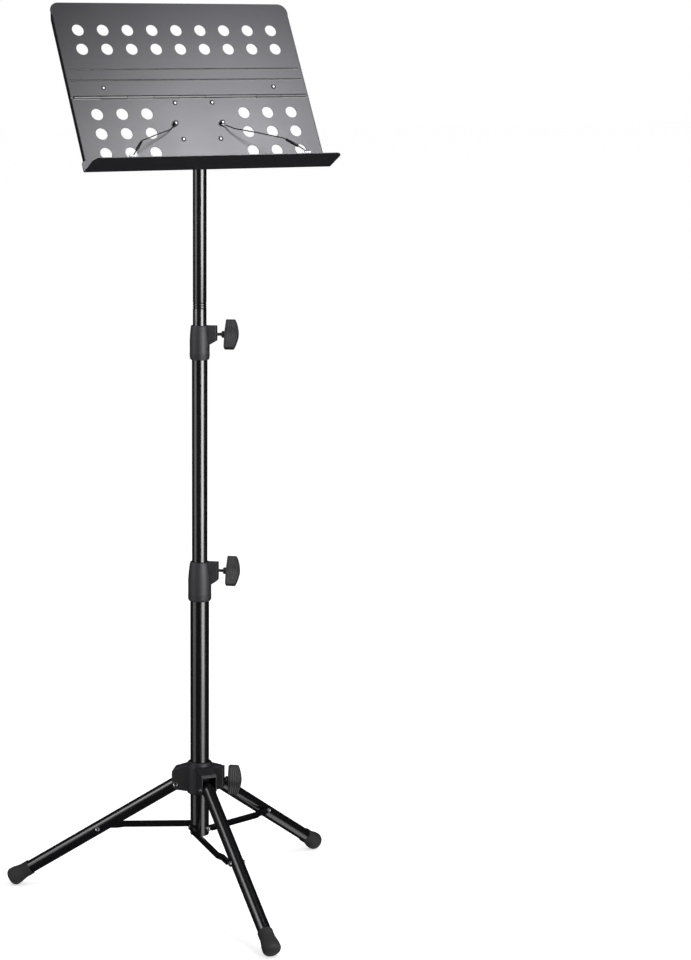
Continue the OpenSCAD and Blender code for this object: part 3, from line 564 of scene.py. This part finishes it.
# %% Clamp screws
THREAD_PITCH, THREAD_ROOT, THREAD_CREST = 1.25, 2.45, 2.95
SCREW_GAP, DOG_RADIUS = 2.2, 2.15
TUBE_RADIUS = {"lower": 14.25, "upper": 12.5, "hub": 17.5}
for name, (facing, height, wing_turn, start) in CLAMPS.items():
    tip = TUBE_RADIUS[name] + SCREW_GAP
    profile = [(0.0, tip), (DOG_RADIUS, tip), (DOG_RADIUS, tip + 1.7), (THREAD_ROOT, tip + 1.8)]
    level = tip + 2.0
    while level < start + 3.0:
        profile += [(THREAD_ROOT, level), (THREAD_CREST, level + THREAD_PITCH / 2)]
        level += THREAD_PITCH
    profile += [(THREAD_ROOT, level), (0.0, level)]
    place = turned_by(facing, "Z") @ moved_to(z=height)
    finish_piece(f"{name}_thread", skin([lathe(profile, 32, "X")], place), black_steel,
                 [f"{name}_screw"], smooth_angle=20)
print("three clamp screws")

# %% [markdown]
# ## Rubber feet
# Each foot is a thick rubber cap pushed over the tube. It has a rolled lip, shallow grip rings and a round
# end that is flat where it meets the floor. It is turned on the leg's axis, and then every point that
# would be under the floor is lifted onto it.

# %% Rubber feet
LEG_DROP = 32.5
LEG_OD = 24.5
PIVOT_R, PIVOT_Z = 43.4, 216.0
FOOT_CORNER, FOOT_CORE, FOOT_FLAT = 9.0, 8.0, 0.8
FOOT_CAP, GRIP_RINGS, RING_PITCH = 38, 4, 3.4
FOOT_RISE = FOOT_CORE * math.cos(math.radians(LEG_DROP)) + FOOT_CORNER - FOOT_FLAT
FOOT_ALONG = (PIVOT_Z - FOOT_RISE) / math.sin(math.radians(LEG_DROP))
LEG_ANGLES = {1: 24, 2: 144, 3: 264}


def leg_place(k):
    return turned_by(LEG_ANGLES[k], "Z") @ moved_to(PIVOT_R, 0, PIVOT_Z) @ turned_by(90 + LEG_DROP, "Y")


mouth = FOOT_ALONG - FOOT_CAP
bore = LEG_OD / 2
foot_profile = [(0, FOOT_ALONG - 8), (bore, FOOT_ALONG - 8), (bore, mouth + 0.3), (bore + 0.3, mouth),
                (bore + 0.9, mouth), (bore + 1.7, mouth + 0.6), (bore + 1.9, mouth + 1.6),
                (bore + 1.7, mouth + 2.8)]
for i in range(GRIP_RINGS):
    ring = mouth + 4.0 + i * RING_PITCH
    foot_profile += [(bore + 1.75, ring), (bore + 1.2, ring + 0.5), (bore + 1.2, ring + 1.1),
                     (bore + 1.8, ring + 1.6)]
foot_profile += [(bore + 2.2, mouth + 19), (bore + 3.1, mouth + 24.5),
                 (FOOT_CORE + FOOT_CORNER - 0.4, mouth + 30)]
foot_profile += [(FOOT_CORE + FOOT_CORNER * math.cos(turn), FOOT_ALONG + FOOT_CORNER * math.sin(turn))
                 for turn in map(math.radians, range(0, 91, 10))]
foot_profile += [(4.0, FOOT_ALONG + FOOT_CORNER + 0.5), (0, FOOT_ALONG + FOOT_CORNER + 0.8)]
for k in LEG_ANGLES:
    mesh = skin([lathe(foot_profile, 64)], leg_place(k))
    for vertex in mesh.verts:
        vertex.co.z = max(vertex.co.z, 0.0)
    finish_piece(f"foot_cap_{k}", mesh, rubber, [f"foot_{k}"], smooth_angle=40)
print(f"three feet, {FOOT_ALONG:.1f} mm down their legs")

# %% [markdown]
# ## Page arms
# Two spring wires swing out over the shelf and hold the pages open. A curve with a round bevel is the
# natural way to draw bent wire. Each bend gets two extra points close to it, so that the wire stays
# straight between its bends and turns them in a small radius.

# %% Page arm wires
DESK = moved_to(0, 95.8, 1607.2) @ turned_by(61, "X")
ARM_PIVOT = (47.0, -189.0)
ARM_BENDS = [(53, -195.2, 3.6), (64, -205, 9.5), (98, -220.5, 23.5), (141, -241, 40), (163, -266, 52),
             (172, -276.6, 55.2)]
BEND_REACH = 3.0
WIRE_RADIUS, EYE_RADIUS, EYE_RISE = 1.0, 4.2, 2.6


def eased(points):
    """The route with two points beside each bend."""
    route = [Vector(p) for p in points]
    out = [route[0]]
    for before, bend, after in zip(route, route[1:], route[2:]):
        reach = min(BEND_REACH, (bend - before).length / 2.2, (after - bend).length / 2.2)
        out += [bend + (before - bend).normalized() * reach, bend,
                bend + (after - bend).normalized() * reach]
    return out + [route[-1]]


eye = [(ARM_PIVOT[0] + EYE_RADIUS * math.cos(turn), ARM_PIVOT[1] + EYE_RADIUS * math.sin(turn), EYE_RISE)
       for turn in map(math.radians, range(0, 271, 30))]
points = [Vector(p) for p in eye[:-1]] + eased([eye[-1]] + ARM_BENDS)
for side, sign in (("left", -1), ("right", 1)):
    curve = bpy.data.curves.new(f"page_arm_{side}", "CURVE")
    curve.dimensions = "3D"
    curve.bevel_depth = WIRE_RADIUS * MM
    curve.bevel_resolution = 4
    curve.use_fill_caps = True
    spline = curve.splines.new("NURBS")
    spline.points.add(len(points) - 1)
    for point, at in zip(spline.points, points):
        at = DESK @ (Vector((sign * at.x, at.y, at.z)) * MM)
        point.co = (*at, 1.0)
    spline.order_u = 3
    spline.use_endpoint_u = True
    spline.resolution_u = 6
    curve.materials.append(spring_steel)
    wire = bpy.data.objects.new(f"page_arm_{side}", curve)
    scene.collection.objects.link(wire)
    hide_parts(f"arm_wire_{side}")
    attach(wire, f"arm_{side}")
print(f"two page arms of {len(points)} points")

# %% [markdown]
# ## Sleeves and rollers on the arms
# A dark PVC sleeve covers the wire's outer stretch, and a small clear roller on its end rests on the
# shelf's edge. Both are turned parts with rounded ends.

# %% Sleeves and rollers
SLEEVE_FROM, SLEEVE_TO, SLEEVE_RADIUS = 0.14, 0.88, 2.5
ROLLER_LENGTH, ROLLER_RADIUS, ROLLER_DROP = 17, 1.9, 0.9
inner_bend, outer_bend, end = map(Vector, ARM_BENDS[3:])
run = outer_bend - inner_bend
for side, sign in (("left", -1), ("right", 1)):
    mirror = Matrix.Diagonal((sign, 1, 1, 1))
    aim = DESK @ mirror @ moved_to(*inner_bend) @ run.to_track_quat("Z", "Y").to_matrix().to_4x4()
    low, high = run.length * SLEEVE_FROM, run.length * SLEEVE_TO
    sleeve = [(WIRE_RADIUS, low), (1.7, low), (2.3, low + 0.3), (SLEEVE_RADIUS, low + 1.0),
              (SLEEVE_RADIUS, high - 1.0), (2.3, high - 0.3), (1.7, high), (WIRE_RADIUS, high)]
    finish_piece(f"arm_grip_{side}", skin([lathe(sleeve, 24)], aim), black_pvc,
                 [f"arm_sleeve_{side}"])
    roller = [(0, 0), (1.2, 0), (1.7, 0.25), (ROLLER_RADIUS, 0.9), (ROLLER_RADIUS, 16.1), (1.7, 16.75),
              (1.2, ROLLER_LENGTH), (0, ROLLER_LENGTH)]
    place = DESK @ mirror @ moved_to(end.x - ROLLER_LENGTH / 2, end.y - ROLLER_DROP, end.z)
    finish_piece(f"arm_roller_{side}", skin([lathe(roller, 24, "X")], place), clear_acrylic,
                 [f"arm_foot_{side}"])
print("sleeves and rollers")

# %% [markdown]
# ## Blind rivets
# Blind rivets hold the desk together. Each one has a flat blackened dome with a hole in its middle,
# and the broken end of a bright aluminium mandrel sits in the hole. From the front that is a dark ring
# round a bright dot, so the head and the mandrel are two turned pieces in two finishes.

# %% Desk rivets
HEAD_HOLE, MANDREL_RADIUS = 2.1, 2.05
FRONT_HEIGHT, BACK_HEIGHT = 1.4, 1.2


def rivet_head(radius, height):
    """Ring-shaped dome standing on Z = 0, with a hole down its middle."""
    return [(HEAD_HOLE, -0.4), (radius - 0.3, -0.4), (radius, 0.0), (radius * 0.98, height * 0.35),
            (radius * 0.88, height * 0.8), (radius * 0.74, height), (2.75, height), (2.35, height * 0.8),
            (HEAD_HOLE, height * 0.3), (HEAD_HOLE, -0.4)]


def mandrel(height):
    """Broken end of the mandrel, in the middle of its head."""
    return [(0, -0.3), (MANDREL_RADIUS, -0.3), (MANDREL_RADIUS, height * 0.55), (1.7, height * 0.85),
            (0.9, height), (0, height * 1.02)]


def placed(rings, centre, front=True):
    """Rings moved to a point on the desk, and turned to face its back if asked."""
    flip = 1 if front else -1
    return [[(x + centre[0], y * flip + centre[1], z * flip + centre[2]) for x, y, z in ring]
            for ring in rings]


SHEET = 1.2
ARM_RIVET_TOP = 4.2
# For each node: its places on the desk, its head's radius, the front head's level, and the grip behind
desk_rivets = {
    "bracket_rivets": ([(x, v) for x in (-37.3, 37.3) for v in (-147, -219.7)], 4.6, 0.0, SHEET + 4.0),
    "leaf_rivets": ([(x, -116) for x in (-171, 171)], 4.4, 0.0, 2 * SHEET),
    "arm_rivets": ([(x, -189) for x in (-47, 47)], 4.8, ARM_RIVET_TOP, SHEET),
}
for node, (places, radius, front, grip) in desk_rivets.items():
    heads, pins = [], []
    for x, v in places:
        heads.append(placed(lathe(rivet_head(radius, FRONT_HEIGHT), 32), (x, v, front)))
        heads.append(placed(lathe(rivet_head(radius - 0.7, BACK_HEIGHT), 32), (x, v, -grip), front=False))
        if front > 0:
            heads.append(placed(lathe([(1.5, 0.0), (4.4, 0.0), (4.4, 0.9), (2.5, 0.9), (2.5, front - 0.4),
                                       (1.5, front - 0.4)], 32), (x, v, 0.0)))
        pins.append(placed(lathe(mandrel(FRONT_HEIGHT), 24), (x, v, front)))
        pins.append(placed(lathe(mandrel(BACK_HEIGHT), 24), (x, v, -grip), front=False))
    finish_piece(node + "_heads", skin(heads, DESK), black_steel, [node])
    finish_piece(node + "_mandrels", skin(pins, DESK), mandrel_aluminium, [], body_of[node])
print("eight blind rivets")

# %% [markdown]
# ## Rivets of the tripod
# The hub, the legs and the struts turn on tubular rivets. A tubular rivet has a rolled rim round an open
# end, so it looks like a small ring: dark in the middle, with light on its rim. One lathe profile makes the
# head and the shank, and each rivet gets its own place on the tripod.

# %% Tripod rivets
LOBE_WIDTH, PIN_ALONG = 30.0, 178.0
STRUT_LEN, STRUT_SLOPE, STRUT_PIN_Z = 193.87, 3.44, 132.0
STRUT_HEAD_IN, STRUT_HEAD_OUT = 20.2, 14.5


def tube_rivet(radius, height, shank, length):
    """Rolled ring head on Z = 0, with its shank going down."""
    return [(0, -length), (shank, -length), (shank, 0.0), (radius, 0.0), (radius, height * 0.35),
            (radius * 0.88, height * 0.85), (radius * 0.72, height), (radius * 0.56, height * 0.8),
            (radius * 0.46, height * 0.25), (0, height * 0.15)]


def riveted(node, places, radius, height, shank, length):
    """One piece of rivets, each with its head along the Z of its own place."""
    whole = bmesh.new()
    for place in places:
        single = skin([lathe(tube_rivet(radius, height, shank, length), 32)], place)
        data = bpy.data.meshes.new("rivet")
        single.to_mesh(data)
        single.free()
        whole.from_mesh(data)
        bpy.data.meshes.remove(data)
    finish_piece(node + "_rolled", whole, rivet_steel, [node])


riveted("leg_rivets", [turned_by(angle, "Z") @ moved_to(PIVOT_R, side * LOBE_WIDTH / 2, PIVOT_Z)
                       @ turned_by(-90 * side, "X") for angle in LEG_ANGLES.values() for side in (1, -1)],
        5.0, 1.9, 2.9, LOBE_WIDTH / 2)
riveted("strut_pins", [turned_by(angle, "Z") @ moved_to(0, -STRUT_HEAD_IN, STRUT_PIN_Z) @ turned_by(90, "X")
                       for angle in LEG_ANGLES.values()], 4.6, 1.8, 2.4, 12.2)
for k, angle in LEG_ANGLES.items():
    riveted(f"leg_pin_{k}", [leg_place(k) @ moved_to(0, LEG_OD / 2, PIN_ALONG) @ turned_by(-90, "X")],
            4.4, 1.9, 2.4, LEG_OD - 0.5)
    strut_place = turned_by(angle, "Z") @ moved_to(z=STRUT_PIN_Z) @ turned_by(STRUT_SLOPE, "Y")
    riveted(f"strut_rivet_{k}", [strut_place @ moved_to(STRUT_LEN, -STRUT_HEAD_OUT) @ turned_by(90, "X")],
            4.4, 1.8, 2.4, 1.7)
print("fifteen tripod rivets")

# %% [markdown]
# ## Pressed lines in the desk
# Two long lines are pressed into the upper panel to stiffen it. Each has a steep wall on its lower side, a
# floor that slopes up from it, and a low rolled lip on its upper side. Each line has the tubes' coat, which
# is glossier and darker than the desk's: its darker colour is painted shade, so that the line reads dark.
# It is one thin section carried along the panel, and lies in the groove that the panel already has.

# %% Pressed lines
LINE_HALF, LINE_TAPER = 233.6, 1.2
LINE_SECTION = [(-1.5, -0.5), (-1.4, 0.02), (-1.15, 0.02), (-0.95, -0.62), (-0.75, -0.64), (0.95, -0.02),
                (1.5, 0.13), (2.1, 0.02), (2.2, -0.5)]
ends = [(-LINE_HALF, 0.3), (-LINE_HALF + LINE_TAPER, 1.0), (LINE_HALF - LINE_TAPER, 1.0), (LINE_HALF, 0.3)]
for count, level in enumerate((-79.2, -101), start=1):
    run = [[(x, level + across * size, depth * size) for across, depth in LINE_SECTION] for x, size in ends]
    # The tubes' darker coat in the line is painted shade.
    finish_piece(f"pressed_line_{count}", skin([run], DESK), black_coat, [],
                 body_of["upper_panel"], 25)
print("two pressed lines")

# %% [markdown]
# ## Upper tube
# Rolled grooves near the bottom of the upper tube warn that it is pulled out far enough. Rolling pushes the
# wall in with a soft rounded edge, so the tube is turned again with three rounded grooves.

# %% Upper tube
UPPER_R, UPPER_WALL, UPPER_LOW, UPPER_HIGH = 12.5, 1.2, 849.0, 1364.0
UPPER_SIDES = 96
GROOVES, GROOVE_DEPTH, GROOVE_STEP = (1110.2, 1114.7, 1119.2), 0.85, 0.34
tube_profile = [(UPPER_R - UPPER_WALL, UPPER_LOW), (UPPER_R - 0.3, UPPER_LOW), (UPPER_R, UPPER_LOW + 0.3)]
for level in GROOVES:
    tube_profile += [(UPPER_R - GROOVE_DEPTH * (0.5 + 0.5 * math.cos(math.pi * t / 4)),
                      level + t * GROOVE_STEP) for t in range(-4, 5)]
tube_profile += [(UPPER_R, UPPER_HIGH - 0.3), (UPPER_R - 0.3, UPPER_HIGH),
                 (UPPER_R - UPPER_WALL, UPPER_HIGH)]
mesh = bmesh.new()
ring_solid(mesh, tube_profile, UPPER_SIDES)
bmesh.ops.recalc_face_normals(mesh, faces=mesh.faces)
finish_piece("upper_tube_rolled", mesh, black_coat, ["upper_tube"], smooth_angle=40)
print("upper tube with three grooves")

# %% [markdown]
# ## Beads on the sleeves and the hub
# The mould leaves three fine rings round the lower end of each sleeve, and one bead under the hub's collar.
# They are rings of small round section, so they read as a bright line and a dark one.

# %% Beads
BEAD_RISE, BEAD_HALF = 0.65, 0.8


def bead(radius, level, rise, half):
    """Closed rings of one bead, sunk into the surface at its back."""
    arc = [(radius + rise * math.sin(math.radians(a)), level - half * math.cos(math.radians(a)))
           for a in range(0, 181, 30)]
    return [(radius - 1.0, level - half)] + arc + [(radius - 1.0, level + half)]


BEADS = {
    "upper_clamp_sleeve": ([(17.9, 1020.5), (18.0, 1023.7), (18.1, 1026.9)], nylon),
    "lower_clamp_sleeve": ([(21.2, 571.5), (21.25, 575.0), (21.3, 578.5)], nylon),
    # The hub's bead has the hub's darker nylon with painted shade.
    "hub_body": ([(22.35, 257.3)], hub_nylon_painted_shade),
}
for node, (levels, finish) in BEADS.items():
    mesh = bmesh.new()
    for radius, level in levels:
        ring_solid(mesh, bead(radius, level, BEAD_RISE, BEAD_HALF))
    bmesh.ops.recalc_face_normals(mesh, faces=mesh.faces)
    finish_piece(f"{node}_beads", mesh, finish, [], body_of[node], 60)
print("seven beads")

# %% [markdown]
# ## Lamps for the tubes alone
# A lamp low at one side skims along the flat desk, and from that side it turns the whole sheet white. In a
# studio a black card shades the desk from such a lamp. Light linking does the same here: six lamps reach
# everything but the sheet, the floor, the page arms and the bright ends of the desk's rivets.

# %% Shade the desk
tube_parts = bpy.data.collections.new("tubes and mouldings")
shaded = {desk_coat, black_pvc, clear_acrylic, spring_steel, mandrel_aluminium, paper}
for item in scene.objects:
    if item.type in {"MESH", "CURVE"} and not shaded & {holder.material for holder in item.material_slots}:
        tube_parts.objects.link(item)
SHADED_LAMPS = ("leg_top", "leg_front", "floor_bounce", "panel_top", "panel_mid", "panel_low")
for lamp in SHADED_LAMPS:
    scene.objects[lamp].light_linking.receiver_collection = tube_parts
